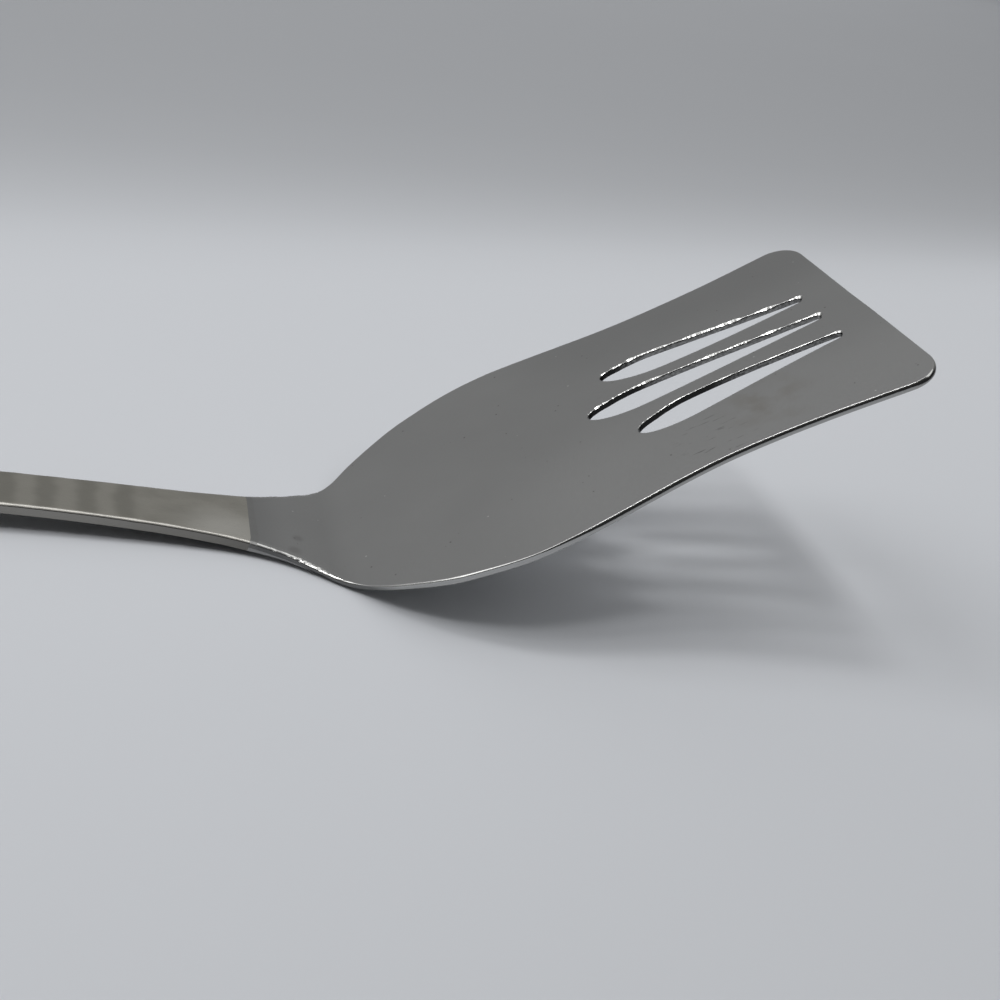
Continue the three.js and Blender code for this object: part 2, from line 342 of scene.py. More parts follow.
def top_face(s):
    """x, z and slope of the top face at each s, with the seam at the origin."""
    s = np.asarray(s, float)
    back = s + ARCH_LENGTH
    grip_x, grip_z, grip_slope = GRIP_POINT
    grip = (
        grip_x + back * math.cos(grip_slope),
        grip_z + back * math.sin(grip_slope),
        np.full_like(s, grip_slope),
    )
    arch = along(SEAM_POINT, -1 / ARCH_RADIUS, s)
    heel = along(HEEL_START_POINT, 1 / HEEL_RADIUS, s - NECK_LENGTH)
    blade = along(HEEL_END_POINT, -1 / CAMBER_RADIUS, s - HEEL_END)
    stretches = [s < -ARCH_LENGTH, s < NECK_LENGTH, s < HEEL_END]
    return [np.select(stretches, values[:3], values[3]) for values in zip(grip, arch, heel, blade)]


def mount_axis(name):
    mounts = frame["record"]["mounts"]
    return next(mount["axis"] for mount in mounts if mount["name"] == name)


def lay_down(x, z):
    """Turns a point of the top face's own plane by the slope of the table."""
    return (
        x * math.cos(TABLE_SLOPE) + z * math.sin(TABLE_SLOPE),
        z * math.cos(TABLE_SLOPE) - x * math.sin(TABLE_SLOPE),
    )


def seam_place():
    """Where the seam is in the part's frame: the blade's tip reaches its solid's right and upper faces."""
    x, z, slope = (float(value) for value in top_face(BLADE_LENGTH))
    low_x = x + BLADE_THICKNESS * math.sin(slope)
    low_z = z - BLADE_THICKNESS * math.cos(slope)
    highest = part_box("blade")[1]
    return highest.x - lay_down(low_x, low_z)[0], highest.z - lay_down(x, z)[1]


grip_normal = mount_axis("grip_underside")
TABLE_SLOPE = ARCH_LENGTH / ARCH_RADIUS - math.atan2(grip_normal[0], -grip_normal[2])
SEAM_X, SEAM_Z = seam_place()


def place(s, y, depth):
    """Points of the part's frame, as rows, from their s, y and depth."""
    x, z, slope = top_face(s)
    x, z = lay_down(x + depth * np.sin(slope), z - depth * np.cos(slope))
    return np.stack(np.broadcast_arrays(SEAM_X + x, y, SEAM_Z + z), axis=-1)


def face_normal(s):
    slope = top_face(s)[2] - TABLE_SLOPE
    return np.stack([-np.sin(slope), np.zeros_like(slope), np.cos(slope)], axis=-1)


# Outlines, as (s, y) points

def smooth_through(points):
    """A smooth curve through (s, value) points that never swings past them (monotone cubic)."""
    at, value = np.array(points).T
    run = np.diff(at)
    rise = np.diff(value) / run
    slope = np.empty(len(points))
    slope[0] = rise[0]
    before = 2 * run[1:] + run[:-1]
    after = run[1:] + 2 * run[:-1]
    turns = rise[:-1] * rise[1:] <= 0
    safe = np.where(turns, 1.0, before / rise[:-1] + after / rise[1:])
    slope[1:-1] = np.where(turns, 0.0, (before + after) / safe)
    slope[-1] = 1.5 * rise[-1] - 0.5 * slope[-2]

    def curve(s):
        i = np.clip(np.searchsorted(at, s) - 1, 0, len(run) - 1)
        t = (s - at[i]) / run[i]
        level = value[i] * (1 + 2 * t) * (1 - t) ** 2 + value[i + 1] * t * t * (3 - 2 * t)
        return level + run[i] * t * (1 - t) * (slope[i] * (1 - t) - slope[i + 1] * t)

    return curve


half_width = smooth_through(OUTLINE)


def read_off(table, at):
    """Values at the given places, straight between a table's (place, value) rows."""
    return np.interp(at, *np.array(table).T)


def resampled(points, step, closed=False):
    """The same line with points at even steps along it."""
    points = np.asarray(points, float)
    if closed:
        points = np.vstack([points, points[:1]])
    lengths = np.hypot(*np.diff(points, axis=0).T)
    reach = np.concatenate([[0.0], np.cumsum(lengths)])
    count = max(4, round(reach[-1] / step))
    stations = np.linspace(0.0, reach[-1], count + 1)
    line = np.stack([np.interp(stations, reach, points[:, axis]) for axis in (0, 1)], axis=1)
    return line[:-1] if closed else line


def skewed(line):
    """The line with its points near the seam moved along, since the seam runs a little askew."""
    nearness = np.clip(1 - np.abs(line[:, 0]) / SKEW_REACH, 0.0, 1.0)
    return line + np.stack([nearness * SEAM_SKEW * line[:, 1], np.zeros(len(line))], axis=1)


def skewed_sections(sections):
    """Sections of (s, y, depth) corners, moved in the same way."""
    rows, corners = sections.shape[:2]
    moved = skewed(sections[..., :2].reshape(-1, 2)).reshape(rows, corners, 2)
    return np.concatenate([moved, sections[..., 2:]], axis=-1)


def blade_path():
    """The blade's edge from the seam's right end, round the tip, to the seam's left end."""
    corner = np.linspace(0.0, math.pi / 2, CORNER_POINTS)
    side_s = np.arange(SEAM_WELD[1], BLADE_LENGTH - CORNER_RADIUS, RIM_STEP / 2)
    side_y = half_width(side_s)
    corner_s = BLADE_LENGTH - CORNER_RADIUS * (1 - np.sin(corner))
    corner_y = half_width(corner_s) - CORNER_RADIUS * (1 - np.cos(corner))
    s = np.concatenate([side_s, corner_s])
    y = np.concatenate([side_y, corner_y])
    right = np.stack([s, -y], axis=1)
    left = np.stack([s, y], axis=1)[::-1]
    return skewed(resampled(np.vstack([right, left]), RIM_STEP))


def handle_path():
    """The handle's edge from the seam's left end, round its own end, to the seam's right end."""
    radius = END_WIDTH / 2
    side_s = np.arange(SEAM_WELD[0], radius - HANDLE_LENGTH, -RIM_STEP / 2)
    turn = np.linspace(0.0, math.pi / 2, CORNER_POINTS)
    end_s = radius - HANDLE_LENGTH - radius * np.sin(turn)
    s = np.concatenate([side_s, end_s])
    y = np.concatenate([half_width(side_s), radius * np.cos(turn)])
    left = np.stack([s, y], axis=1)
    right = np.stack([s, -y], axis=1)[::-1]
    return skewed(resampled(np.vstack([left, right[1:]]), RIM_STEP))


def slot_loop(length, heel_y, tip_y):
    """A slot's edge, clockwise as seen from above."""
    tip = BLADE_LENGTH - SLOT_TIP_MARGIN
    wide = SLOT_WIDTH / 2
    end = SLOT_END_WIDTH / 2
    nose_end = tip - length + SLOT_NOSE
    taper_end = tip - end
    turn = np.linspace(0.0, math.pi / 2, NOSE_POINTS)
    taper = np.linspace(0.0, 1.0, TAPER_POINTS)[1:-1]
    s = np.concatenate([
        nose_end - SLOT_NOSE * np.cos(turn),
        nose_end + (taper_end - nose_end) * taper,
        taper_end + end * np.sin(turn),
    ])
    half = np.concatenate([
        wide * np.sin(turn),
        wide - (wide - end) * taper ** SLOT_TAPER_POWER,
        end * np.cos(turn),
    ])
    middle = tip_y + (heel_y - tip_y) * ((tip - s) / length) ** 2
    far = np.stack([s, middle + half], axis=1)
    near = np.stack([s, middle - half], axis=1)[::-1]
    return resampled(np.vstack([far, near[1:-1]]), SLOT_STEP, closed=True)


def hole_loop():
    radius = HANG_HOLE_DIAMETER / 2
    turn = np.linspace(0.0, -2 * math.pi, HOLE_POINTS, endpoint=False)
    middle = HANG_HOLE_INSET - HANDLE_LENGTH
    return np.stack([middle + radius * np.cos(turn), radius * np.sin(turn)], axis=1)


def outward(line, closed):
    """Unit normals of a line whose material is on its left."""
    if closed:
        run = np.roll(line, -1, axis=0) - np.roll(line, 1, axis=0)
    else:
        run = np.gradient(line, axis=0)
    run /= np.hypot(*run.T)[:, None]
    return np.stack([run[:, 1], -run[:, 0]], axis=1)


def edge_proud(line):
    """How far the worn edge stands outside the drawn one, at each point of a line along both sides."""
    s, y = line.T
    right = np.clip(0.5 - y / SIDE_BLEND, 0.0, 1.0)
    on_right = read_off(RIGHT_PROUD, s)
    on_left = read_off(LEFT_PROUD, s)
    return on_left + right * (on_right - on_left)


# Solids with rounded rims

def ripple(values, size, seed):
    """Smooth noise, about -1 to 1, at each of the values, with features of the given size."""
    return np.array([noise.noise(Vector((value / size, seed, 0.5 * seed))) for value in values])


class Rim:
    """A rounded edge swept along a line of (s, y) points, as rows of (s, y, depth) from the top down."""

    def __init__(self, line, thickness, profile, closed=False, dark=0.0, proud=0.0):
        self.closed = closed
        self.count = len(line)
        self.normals = outward(line, closed)
        shoulder, corner, bevel, crown, lower, proud = [
            np.broadcast_to(value, self.count)[:, None] for value in (*profile, proud)
        ]
        bends = np.hstack([shoulder, *[corner] * CORNER_STEPS, *[crown] * CROWN_STEPS])
        flats = bevel * (np.diff(TURNS) == 0)
        start = np.zeros((self.count, 1))
        outs = bends * np.diff(np.sin(TURNS)) + flats * np.cos(TURNS[1:])
        downs = flats * np.sin(TURNS[1:]) - bends * np.diff(np.cos(TURNS))
        out = np.cumsum(np.hstack([start, outs]), axis=1)
        down = np.cumsum(np.hstack([start, downs]), axis=1)
        wall = np.linspace(0.0, 1.0, WALL_STEPS + 1)[None, 1:-1]
        under = np.linspace(0.0, math.pi / 2, LOWER_ARC_STEPS + 1)[None, :]
        low = thickness - lower
        flush = np.zeros((self.count, WALL_STEPS - 1))
        inset = np.hstack([out[:, -1:] - out, flush, lower * (1 - np.cos(under))]) - proud
        depth = np.hstack([down, down[:, -1:] + (low - down[:, -1:]) * wall, low + lower * np.sin(under)])
        s = line[:, :1] - inset * self.normals[:, :1]
        y = line[:, 1:] - inset * self.normals[:, 1:]
        self.rows = np.stack([s, y, depth], axis=-1)
        self.steps = self.rows.shape[1]
        # the walls below the bevel take the given share of painted shade
        walls = np.ones(self.steps)
        walls[:len(TURNS)] = np.clip(TURNS / BEVEL_TURN - 1, 0.0, 1.0)
        self.dark = np.broadcast_to(dark, self.count)[:, None] * walls

    def points(self):
        return place(self.rows[..., 0], self.rows[..., 1], self.rows[..., 2])

    def point_normals(self):
        """Normals from the swept surface itself, and from the flat faces along its two borders."""
        points = self.points()
        if self.closed:
            ahead = np.roll(points, -1, axis=0) - np.roll(points, 1, axis=0)
        else:
            ahead = np.gradient(points, axis=0)
        down = np.gradient(points, axis=1)
        normals = np.cross(down, ahead)
        normals /= np.linalg.norm(normals, axis=-1, keepdims=True)
        normals[:, 0] = face_normal(self.rows[:, 0, 0])
        normals[:, -1] = -face_normal(self.rows[:, -1, 0])
        return normals

    def faces(self, first):
        """Quads between neighbouring rows, for vertices that are numbered from first."""
        quads = []
        for k in range(self.count if self.closed else self.count - 1):
            here = first + k * self.steps
            ahead = first + (k + 1) % self.count * self.steps
            for j in range(self.steps - 1):
                quads.append((here + j, here + j + 1, ahead + j + 1, ahead + j))
        return quads


def inside(points, loops):
    """True for each point that an odd number of the loops go round."""
    odd = np.zeros(len(points), bool)
    x, y = points[:, :1], points[:, 1:]
    for loop in loops:
        ahead = np.roll(loop, -1, axis=0)
        crosses = (loop[:, 1] > y) != (ahead[:, 1] > y)
        rise = np.where(ahead[:, 1] == loop[:, 1], 1.0, ahead[:, 1] - loop[:, 1])
        at = loop[:, 0] + (y - loop[:, 1]) / rise * (ahead[:, 0] - loop[:, 0])
        odd ^= (crosses & (x < at)).sum(axis=1) % 2 == 1
    return odd


def inner_grid(loops):
    """Points inside the loops, on a grid, none of them close to a loop."""
    border = np.vstack(loops)
    low, high = border.min(axis=0), border.max(axis=0)
    grid_s = np.arange(low[0], high[0], GRID_STEP)
    grid_y = np.arange(low[1], high[1], GRID_STEP)
    grid = np.stack(np.meshgrid(grid_s, grid_y), axis=-1).reshape(-1, 2)
    grid = grid[inside(grid, loops)]
    clear = [np.hypot(*(border - point).T).min() > 0.6 * GRID_STEP for point in grid]
    return grid[np.array(clear)]


def triangles(loops, inner):
    """Triangles between the loops, by the numbers of the loops' points and then of the inner ones."""
    points = np.vstack([*loops, inner]) / GRID_STEP
    edges = []
    first = 0
    for loop in loops:
        count = len(loop)
        edges += [(first + i, first + (i + 1) % count) for i in range(count)]
        first += count
    made = delaunay_2d_cdt([Vector(point) for point in points], edges, [], 0, 1e-5)
    corners, faces, sources = made[0], made[2], made[3]
    number = [source[0] for source in sources]
    flat = np.array([corner[:] for corner in corners])
    faces = np.array(faces)
    centres = flat[faces].mean(axis=1)
    faces = faces[inside(centres, [loop / GRID_STEP for loop in loops])]
    kept = []
    for a, b, c in faces:
        left = np.cross(flat[b] - flat[a], flat[c] - flat[a]) > 0
        kept.append((number[a], number[b], number[c]) if left else (number[a], number[c], number[b]))
    return kept


Body = namedtuple("Body", "points faces normals flat dark")


def make_piece(name, body, material, slot, *nodes):
    """A piece of the turner, whose vertices also keep their (s, y, depth) and their share of painted shade
    for the finish.
    """
    mesh = bpy.data.meshes.new(name)
    mesh.from_pydata(body.points.tolist(), [], body.faces)
    mesh.polygons.foreach_set("use_smooth", [True] * len(body.faces))
    if body.normals is not None:
        mesh.normals_split_custom_set_from_vertices(body.normals.tolist())
    spread = mesh.attributes.new("along", "FLOAT_VECTOR", "POINT")
    spread.data.foreach_set("vector", body.flat.astype(np.float32).ravel())
    dark = mesh.attributes.new("dark", "FLOAT", "POINT")
    dark.data.foreach_set("value", body.dark.astype(np.float32))
    mesh.materials.append(material)
    piece = bpy.data.objects.new(name, mesh)
    bpy.context.scene.collection.objects.link(piece)
    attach(piece, "root")
    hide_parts(*nodes)
    return piece


def plate(rims, thickness, under_dark=0.0):
    """A plate inside the first rim and outside the others, flat across the end where that rim is open."""
    loops = [rim.rows[:, 0, :2] for rim in rims]
    inner = inner_grid(loops)
    points = [rim.points().reshape(-1, 3) for rim in rims]
    normals = [rim.point_normals().reshape(-1, 3) for rim in rims]
    flat = [rim.rows.reshape(-1, 3) for rim in rims]
    dark = [rim.dark.ravel() for rim in rims]
    faces = []
    upper = []
    lower = []
    first = 0
    for rim in rims:
        faces += rim.faces(first)
        upper += [first + k * rim.steps for k in range(rim.count)]
        lower += [first + (k + 1) * rim.steps - 1 for k in range(rim.count)]
        first += rim.count * rim.steps
    upper += range(first, first + len(inner))
    lower += range(first + len(inner), first + 2 * len(inner))
    # the underside takes the given share of painted shade
    for depth, side, underside_shade in ((0.0, 1.0, 0.0), (thickness, -1.0, under_dark)):
        points.append(place(inner[:, 0], inner[:, 1], depth))
        normals.append(side * face_normal(inner[:, 0]))
        flat.append(np.column_stack([inner, np.full(len(inner), depth)]))
        dark.append(np.full(len(inner), underside_shade))
    for a, b, c in triangles(loops, inner):
        faces.append((upper[a], upper[b], upper[c]))
        faces.append((lower[a], lower[c], lower[b]))
    edge = rims[0]
    last = (edge.count - 1) * edge.steps
    faces.append([last + j for j in range(edge.steps)] + list(reversed(range(edge.steps))))
    return Body(np.vstack(points), faces, np.vstack(normals), np.vstack(flat), np.concatenate(dark))


def tube(sections):
    """A closed body through sections of (s, y, depth) corners."""
    rows, corners = sections.shape[:2]
    faces = []
    for row in range(rows - 1):
        for corner in range(corners):
            a = row * corners + corner
            b = row * corners + (corner + 1) % corners
            faces.append((a, a + corners, b + corners, b))
    end = (rows - 1) * corners
    faces.append(list(range(corners)))
    faces.append([end + corner for corner in reversed(range(corners))])
    flat = sections.reshape(-1, 3)
    return Body(place(*flat.T), faces, None, flat, np.zeros(len(flat)))


# Finishes

class Finish:
    """A material's node tree, with short calls for the nodes that the steels here share."""

    def __init__(self, name):
        self.material = bpy.data.materials.new(name)
        self.material.use_nodes = True
        self.tree = self.material.node_tree
        self.surface = self.tree.nodes["Principled BSDF"]
        self.surface.inputs["Metallic"].default_value = 1.0
        spread = self.tree.nodes.new("ShaderNodeAttribute")
        spread.attribute_name = "along"
        self.spread = spread.outputs["Vector"]
        parts = self.put("ShaderNodeSeparateXYZ", [("Vector", self.spread)]).outputs
        self.s, self.y, self.depth = parts["X"], parts["Y"], parts["Z"]
        self.dark = self.put("ShaderNodeAttribute", attribute_name="dark").outputs["Fac"]

    def put(self, kind, inputs=(), **settings):
        node = self.tree.nodes.new(kind)
        for name, value in settings.items():
            setattr(node, name, value)
        for socket, value in inputs:
            if isinstance(value, bpy.types.NodeSocket):
                self.tree.links.new(value, node.inputs[socket])
            else:
                node.inputs[socket].default_value = value
        return node

    def scaled(self, scale):
        """The place on the turner, counted in features of the given sizes."""
        count = [1 / size for size in scale]
        inputs = [("Vector", self.spread), ("Scale", count)]
        return self.put("ShaderNodeMapping", inputs).outputs["Vector"]

    def grain(self, scale, detail=2.0):
        """Noise from 0 to 1 with features of the given sizes along s, y and depth."""
        inputs = [("Vector", self.scaled(scale)), ("Scale", 1.0), ("Detail", detail)]
        return self.put("ShaderNodeTexNoise", inputs).outputs["Fac"]

    def spots(self, size):
        """The distance from the middle of the nearest spot, in spot spacings."""
        inputs = [("Vector", self.scaled((size, size, size))), ("Scale", 1.0)]
        return self.put("ShaderNodeTexVoronoi", inputs).outputs["Distance"]

    def band(self, value, start, stop, low=0.0, high=1.0):
        """The value taken from start and stop to low and high, and no further."""
        inputs = [
            ("Value", value),
            ("From Min", start),
            ("From Max", stop),
            ("To Min", low),
            ("To Max", high),
        ]
        return self.put("ShaderNodeMapRange", inputs, interpolation_type="SMOOTHSTEP").outputs["Result"]

    def times(self, a, b):
        return self.put("ShaderNodeMath", [(0, a), (1, b)], operation="MULTIPLY").outputs["Value"]

    def sum(self, a, b):
        return self.put("ShaderNodeMath", [(0, a), (1, b)], operation="ADD").outputs["Value"]

    def blend(self, share, first, second):
        """A number between the first and the second."""
        return self.put("ShaderNodeMix", [("Factor", share), ("A", first), ("B", second)]).outputs["Result"]

    def near(self, s, y, reach):
        """1 at a place on the turner, falling to 0 at a distance from it."""
        apart = self.put("ShaderNodeVectorMath", [(0, self.spread), (1, (s, y, 0.0))], operation="DISTANCE")
        return self.band(apart.outputs["Value"], reach, 0.2 * reach)

    def mixed(self, share, first, second):
        node = self.put("ShaderNodeMix", [("Factor", share)], data_type="RGBA")
        for socket, value in ((node.inputs[6], first), (node.inputs[7], second)):
            if isinstance(value, bpy.types.NodeSocket):
                self.tree.links.new(value, socket)
            else:
                socket.default_value = (*value, 1.0)
        return node.outputs[2]

    def set(self, socket, value):
        self.tree.links.new(value, self.surface.inputs[socket])

    def bump(self, height, distance, strength=1.0, normal=None):
        inputs = [("Height", height), ("Distance", distance), ("Strength", strength)]
        if normal is not None:
            inputs.append(("Normal", normal))
        return self.put("ShaderNodeBump", inputs).outputs["Normal"]


def blade_steel():
    """Matte tumbled sheet with clouds, specks, a stain, bright rims and painted glints; a painted sheen
    pales its right side, painted shade darkens its left side and its walls.
    """
    steel = Finish("blade_steel")
    fine = steel.grain((0.0006, 0.0005, 0.001), detail=1.0)
    clouds = steel.grain((0.030, 0.022, 0.03), detail=4.0)
    colour = steel.mixed(clouds, DULL_SHEET, BRIGHT_SHEET)
    # painted sheen: the right side of the blade is paler
    right = steel.times(steel.band(steel.y, 0.002, -0.025), steel.band(steel.s, 0.045, 0.075))
    colour = steel.mixed(steel.times(right, 0.3), colour, PAINTED_SHEEN_SIDE)
    # painted shade: the left side of the blade is darker
    left = steel.times(steel.band(steel.y, 0.008, 0.028), steel.band(steel.s, 0.070, 0.100))
    colour = steel.mixed(steel.times(left, 0.3), colour, PAINTED_SHADE_SIDE)
    blotch = steel.band(steel.grain((0.006, 0.005, 0.01)), 0.35, 0.75)
    stain = steel.times(steel.near(*STAIN_SPOT), blotch)
    colour = steel.mixed(steel.times(stain, 0.45), colour, STAIN)
    lines = steel.band(steel.grain((0.005, 0.0007, 0.01), detail=2.0), 0.62, 0.70)
    scratches = steel.times(lines, steel.near(*SCRATCH_SPOT))
    colour = steel.mixed(steel.times(scratches, 0.7), colour, SCRATCH)
    sparse = steel.band(steel.grain((0.008, 0.006, 0.01)), 0.56, 0.64)
    specks = steel.times(steel.band(steel.spots(0.0024), 0.13, 0.08), sparse)
    colour = steel.mixed(steel.times(specks, 0.6), colour, SPECK)
    glints = steel.times(steel.band(steel.spots(0.0060), 0.045, 0.025), steel.band(sparse, 0.6, 0.2))
    colour = steel.mixed(steel.times(glints, 0.6), colour, GLINT)
    # the sheet turns darker towards the seam
    colour = steel.mixed(steel.band(steel.s, 0.010, 0.001, 0.0, 0.5), colour, DARKER_NEAR_SEAM_SHEET)
    smudges = steel.sum(*[steel.near(*spot) for spot in SMUDGE_SPOTS])
    colour = steel.mixed(steel.times(smudges, 0.4), colour, SMUDGE)
    rim = steel.band(steel.depth, 0.00001, 0.00010)
    colour = steel.mixed(rim, colour, SHEET_RIM)
    # painted shade: the walls of the slots and of the neck turn black, mottled where the shade fades
    scale = steel.band(steel.grain((0.0009, 0.0005, 0.0005), detail=3.0), 0.62, 0.38, 0.55, 1.0)
    faded_shade = steel.band(steel.dark, SLOT_DARK, FADED_SLOT_SHADE)
    faded_shade = steel.times(faded_shade, steel.band(steel.s, 0.05, 0.08))
    wall = steel.times(steel.dark, steel.blend(faded_shade, 1.0, scale))
    steel.set("Base Color", steel.mixed(wall, colour, PAINTED_SHADE_BLACK))
    matte = steel.band(fine, 0.2, 0.8, 0.36, 0.44)
    steel.set("Roughness", steel.blend(rim, matte, 0.16))
    steel.set("Normal", steel.bump(fine, 0.000012))
    return steel.material


def handle_steel():
    """Warm satin strip, brushed along its length, with soft bands of painted reflection, a painted
    highlight by the seam, bright rims, and sides and underside darkened by painted shade.
    """
    steel = Finish("handle_steel")
    # painted reflection: soft bright and dull bands along the handle
    sway = steel.grain((0.012, 0.006, 0.02))
    turns = steel.sum(steel.times(steel.s, math.tau / REFLECTION_BAND_STEP), steel.times(sway, 3.0))
    turns = steel.sum(turns, -math.tau * REFLECTION_BAND_START / REFLECTION_BAND_STEP)
    sine = steel.put("ShaderNodeMath", [(0, turns)], operation="SINE").outputs["Value"]
    wave = steel.band(sine, -1.0, 1.0)
    fade = steel.times(steel.band(steel.s, -0.019, -0.027), steel.band(steel.s, -0.095, -0.065))
    clouds = steel.grain((0.009, 0.005, 0.02), detail=2.0)
    shade = steel.blend(fade, steel.band(clouds, 0.3, 0.7, 0.45, 0.85), steel.blend(0.3, wave, clouds))
    colour = steel.mixed(shade, DULL_STRIP, BRIGHT_STRIP)
    brushed = steel.grain((0.006, 0.00016, 0.001), detail=3.0)
    colour = steel.mixed(steel.times(brushed, 0.25), colour, BRUSHED_STRIP)
    # painted highlight: a pale patch on the handle by the seam
    colour = steel.mixed(steel.times(steel.near(*PAINTED_HIGHLIGHT_SPOT), 0.65), colour, PAINTED_HIGHLIGHT_STRIP)
    rim = steel.band(steel.depth, 0.00006, 0.00020)
    colour = steel.mixed(rim, colour, STRIP_RIM)
    # painted shade on the sides, on the hole's wall and on the underside
    steel.set("Base Color", steel.mixed(steel.dark, colour, PAINTED_SHADE_BROWN))
    satin = steel.band(brushed, 0.25, 0.75, 0.26, 0.38)
    steel.set("Roughness", steel.blend(rim, satin, 0.2))
    steel.set("Normal", steel.bump(brushed, 0.000008))
    return steel.material


def weld_steel():
    """Ground weld metal, as matte as the sheet and a little lumpy."""
    steel = Finish("weld_steel")
    lumps = steel.grain((0.004, 0.002, 0.002))
    colour = steel.mixed(lumps, DULL_WELD, BRIGHT_WELD)
    # painted shade on the seam bead's walls
    steel.set("Base Color", steel.mixed(steel.dark, colour, PAINTED_SHADE_BROWN))
    below = steel.band(steel.depth, 0.0001, 0.0016)
    steel.set("Roughness", steel.band(lumps, 0.3, 0.7, 0.32, 0.44))
    steel.set("Normal", steel.bump(steel.times(lumps, below), 0.00002))
    return steel.material


# Pieces

def arc_lengths(line):
    return np.concatenate([[0.0], np.cumsum(np.hypot(*np.diff(line, axis=0).T))])


def blade_rim(line):
    """The blade's rim: the handle's along the ground, uneven neck, and crowned past the heel."""
    s = line[:, 0]
    reach = arc_lengths(line)
    neck = np.clip((NECK_LENGTH - s) / NECK_FADE, 0.0, 1.0)
    grown = np.clip((s - NECK_LENGTH) / HEEL_BLEND, 0.0, 1.0)
    even = 1 + 0.15 * ripple(reach, 0.006, 1.7)
    patches = 0.6 + 0.9 * ripple(reach, 0.0035, 5.3) + 0.6 * ripple(reach, 0.0008, 4.1)
    patches = np.clip(patches, 0.0, 1.4)
    profile = Profile(*[a + grown * (b - a) for a, b in zip(HANDLE_PROFILE, BLADE_PROFILE)])
    ground = np.clip((s - GROUND_START) / GROUND_BLEND, 0.0, 1.0)
    bevel = HANDLE_PROFILE.bevel + ground * (patches * NECK_BEVEL - HANDLE_PROFILE.bevel)
    profile = profile._replace(
        corner=(profile.corner + read_off(HEEL_CORNERS, s)) * even,
        bevel=LEAST_BEVEL + neck * bevel,
        crown=profile.crown * read_off(HEEL_CROWNS, s),
        lower=read_off(HEEL_LOW_RIMS, s),
    )
    return Rim(line, BLADE_THICKNESS, profile, dark=read_off(SIDE_DARKS, s), proud=edge_proud(line))


def slot_rim(loop, burr):
    """A slot's rim. The wall that faces right has an uneven bevel, in patches of the burr's length. It is
    painted black with shade for some length from the slot's nose, and that painted shade is paler below the
    bevel past that."""
    reach = arc_lengths(loop)
    burred = np.clip(-2.0 * outward(loop, True)[:, 1], 0.0, 1.0)
    from_nose = loop[:, 0] - loop[:, 0].min()
    length = from_nose.max()
    coarse = ripple(reach, burr.patch, burr.seed)
    fine = ripple(reach, 0.2 * burr.patch, burr.seed + 6.0)
    serrated = 0.35 + TEETH * np.exp(-from_nose / TEETH_REACH)
    rough = np.clip(0.45 + 1.1 * coarse + serrated * fine, 0.0, 1.0)
    ends = np.exp(-((length - from_nose) / SLOT_END_REACH) ** 2)
    bevel = burred * (burr.bevel * rough + SLOT_END_BEVEL * ends)
    profile = SLOT_PROFILE._replace(bevel=LEAST_BEVEL + bevel)
    proud = burred * read_off(SLOT_PROUD, from_nose / length)
    rim = Rim(loop, BLADE_THICKNESS, profile, True, SLOT_DARK, proud)
    # past its black length, the painted shade fades to the burr's paler share
    faded_shade = np.clip((from_nose - burr.black) / BLACK_FADE, 0.0, 1.0)
    rim.dark[:, len(TURNS):] *= 1 - faded_shade[:, None] * (1 - burr.low_dark / SLOT_DARK)
    return rim


def make_blade(material):
    edge = blade_path()
    side_heel, side_tip = SIDE_SLOT_SPREAD_HEEL / 2, SIDE_SLOT_SPREAD_TIP / 2
    rims = [
        blade_rim(edge),
        slot_rim(slot_loop(SIDE_SLOT_LENGTH, side_heel, side_tip), FAR_BURR),
        slot_rim(slot_loop(MIDDLE_SLOT_LENGTH, 0.0, 0.0), MIDDLE_BURR),
        slot_rim(slot_loop(SIDE_SLOT_LENGTH, -side_heel, -side_tip), NEAR_BURR),
    ]
    return make_piece("blade_sheet", plate(rims, BLADE_THICKNESS), material, "blade_steel", "blade")


def under_tang(s):
    """Depth of the joint's underside, from the full strip at the seam to the tongue's thin end."""
    share = np.clip(s / TONGUE_LENGTH, 0.0, 1.0)
    return HANDLE_THICKNESS + share * (TONGUE_END_DEPTH - HANDLE_THICKNESS)


def tongue_sections():
    s = np.linspace(SEAM_WELD[0], TONGUE_LENGTH, TONGUE_ROWS)
    half = half_width(s) - TONGUE_INSET
    low = under_tang(s)
    round_off = TONGUE_ROUNDING * (low - BLADE_THICKNESS)
    corners = [
        (-half, np.full_like(s, BLADE_THICKNESS)),
        (half, np.full_like(s, BLADE_THICKNESS)),
        (half, low - round_off),
        (half - round_off, low),
        (-half + round_off, low),
        (-half, low - round_off),
    ]
    return np.stack([np.stack([s, y, depth], axis=-1) for y, depth in corners], axis=1)


def joined(first, second):
    """Two bodies as one. The second is flat below, and is lit as the underside."""
    faces = first.faces + [[len(first.points) + corner for corner in face] for face in second.faces]
    return Body(
        np.vstack([first.points, second.points]),
        faces,
        np.vstack([first.normals, -face_normal(second.flat[:, 0])]),
        np.vstack([first.flat, second.flat]),
        np.concatenate([first.dark, second.dark]),
    )


def make_handle(material):
    edge = handle_path()
    uneven = HANDLE_PROFILE.bevel * (1 + 0.5 * ripple(arc_lengths(edge), 0.004, 2.2))
    dark = read_off(SIDE_DARKS, edge[:, 0])
    profile = HANDLE_PROFILE._replace(bevel=uneven)
    rims = [
        Rim(edge, HANDLE_THICKNESS, profile, dark=dark, proud=edge_proud(edge)),
        Rim(hole_loop(), HANDLE_THICKNESS, HOLE_PROFILE, closed=True, dark=HANDLE_DARK),
    ]
    body = joined(plate(rims, HANDLE_THICKNESS, UNDER_DARK), tube(tongue_sections()))
    return make_piece("handle_strip", body, material, "handle_steel", "handle")


